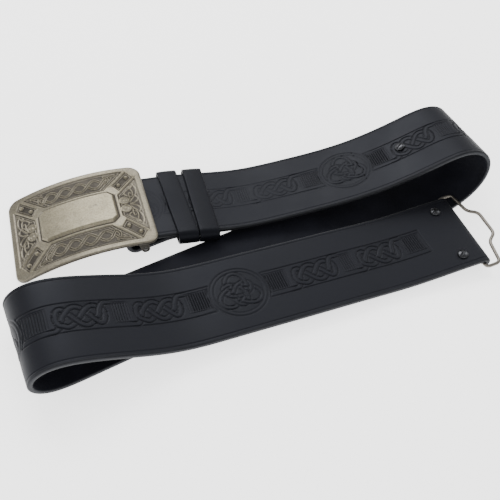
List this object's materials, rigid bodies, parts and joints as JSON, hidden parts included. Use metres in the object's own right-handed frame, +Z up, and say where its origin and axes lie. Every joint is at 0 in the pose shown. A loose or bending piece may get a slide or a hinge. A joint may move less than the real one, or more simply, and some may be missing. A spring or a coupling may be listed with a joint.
{
  "type": "leather kilt belt with plate buckle",
  "caption": "Wide embossed black leather kilt belt laid down and looped on itself, with a cast plate buckle, leather keepers and a wire loop at the tail.",
  "frame": {"origin": "centre of the bounding box on the surface the belt lies on", "axes": "+X to the right along the belt's longest extent, from the buckle towards the tail loop; +Y away from the front turn; +Z up from the surface"},
  "size_m": [0.3196, 0.2332, 0.0441],
  "materials": {
    "strap_leather": "satin black embossed leather",
    "keeper_leather": "smooth satin black leather",
    "pewter": "antique pewter, darkened in the recesses, worn bright on the ridges",
    "bar_steel": "plain metal",
    "nickel": "polished nickel"
  },
  "bodies": {
    "belt": {"strap": "strap_leather", "keeper_1": "keeper_leather", "keeper_2": "keeper_leather", "stud_1": "nickel", "stud_2": "nickel", "stud_3": "nickel"},
    "buckle": {"buckle_plate": "pewter", "buckle_bar": "bar_steel"},
    "loop": {"wire_loop": "nickel"}
  },
  "joints": [
    {"name": "buckle_hinge", "type": "hinge", "parent": "belt", "child": "buckle", "pos_m": [-0.07422, 0.02169, 0.00758], "axis": [0.3383, -0.9407, 0.0239], "range_deg": [-3, 22]},
    {"name": "loop_hinge", "type": "hinge", "parent": "belt", "child": "loop", "pos_m": [0.1392, 0.02304, 0.00671], "axis": [0.369, -0.9292, -0.0226], "range_deg": [0, 110]}
  ]
}
